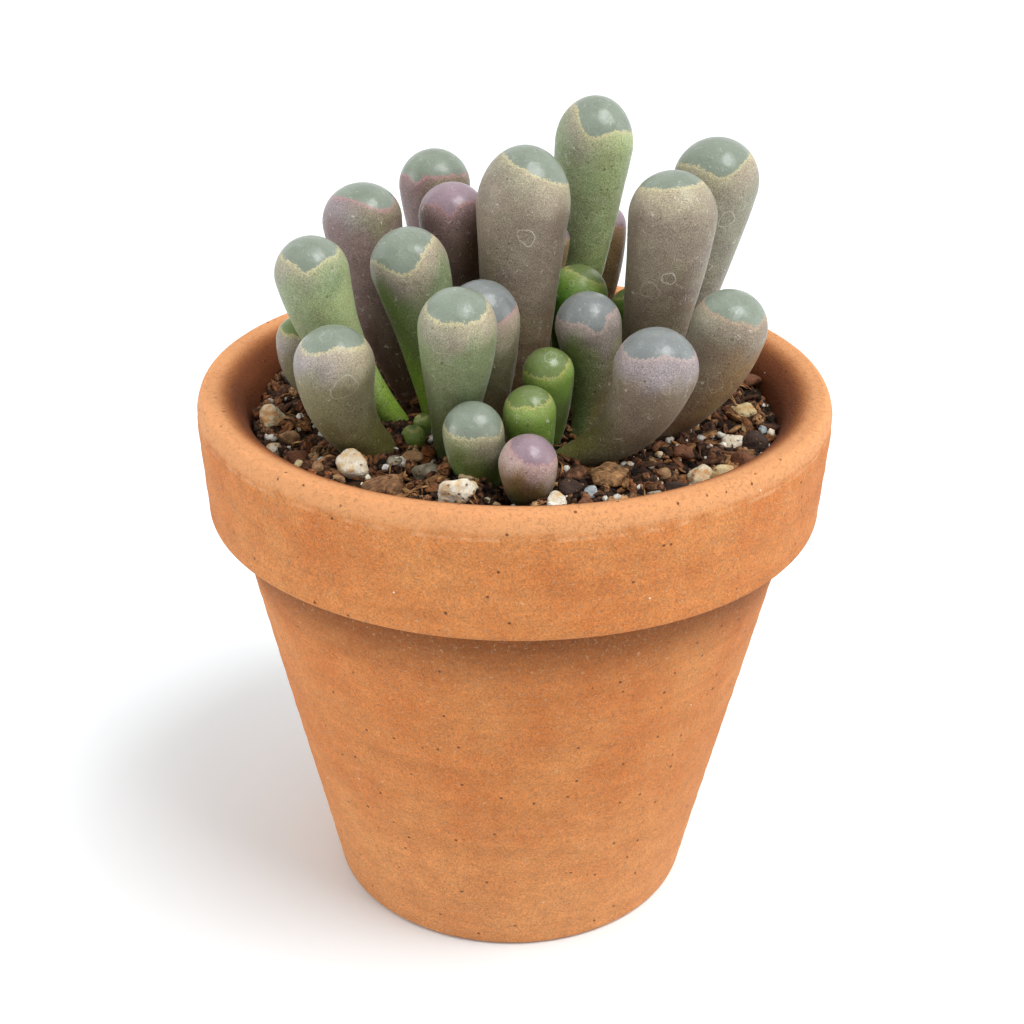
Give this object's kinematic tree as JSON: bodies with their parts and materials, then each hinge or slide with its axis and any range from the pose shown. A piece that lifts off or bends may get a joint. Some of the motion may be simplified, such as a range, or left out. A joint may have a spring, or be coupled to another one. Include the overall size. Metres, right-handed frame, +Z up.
{
  "type": "potted succulent",
  "caption": "Clump of upright club-shaped window leaves growing from gritty soil in a small collared terracotta pot.",
  "frame": {"origin": "middle of the pot's flat base, on the surface it stands on", "axes": "+Z up along the pot's turning axis; the clump's front, with its shortest leaves, faces -Y; +X is to the right seen from the front"},
  "size_m": [0.065, 0.065, 0.084],
  "materials": {
    "terracotta": "matte",
    "soil": "matte",
    "root": "matte",
    "leaf_grey": "satin",
    "leaf_green": "satin",
    "leaf_purple": "satin"
  },
  "bodies": {
    "root": {"pot": "terracotta", "soil": "soil", "root_crown": "root", "leaf_front_left": "leaf_grey", "leaf_left_tall": "leaf_grey", "leaf_far_left": "leaf_grey", "leaf_purple_left": "leaf_purple", "leaf_centre_left": "leaf_grey", "leaf_bud_low": "leaf_green", "leaf_bud_high": "leaf_green", "leaf_front_centre": "leaf_grey", "leaf_stub_grey": "leaf_grey", "leaf_stub_pink": "leaf_purple", "leaf_green_front": "leaf_green", "leaf_green_mid": "leaf_green", "leaf_front_right": "leaf_grey", "leaf_pink_band": "leaf_purple", "leaf_mid_right": "leaf_grey", "leaf_big_centre": "leaf_grey", "leaf_mid_purple": "leaf_purple", "leaf_green_back": "leaf_green", "leaf_behind_centre": "leaf_grey", "leaf_right_large": "leaf_grey", "leaf_right_low": "leaf_grey", "leaf_right_back": "leaf_grey", "leaf_green_small": "leaf_green", "leaf_back_tallest": "leaf_grey", "leaf_back_small": "leaf_grey", "leaf_back_purple": "leaf_purple", "leaf_rear_left": "leaf_grey", "leaf_rear_middle": "leaf_grey", "leaf_rear_edge": "leaf_grey", "leaf_rear_low": "leaf_green", "leaf_rear_right": "leaf_grey"}
  },
  "joints": []
}
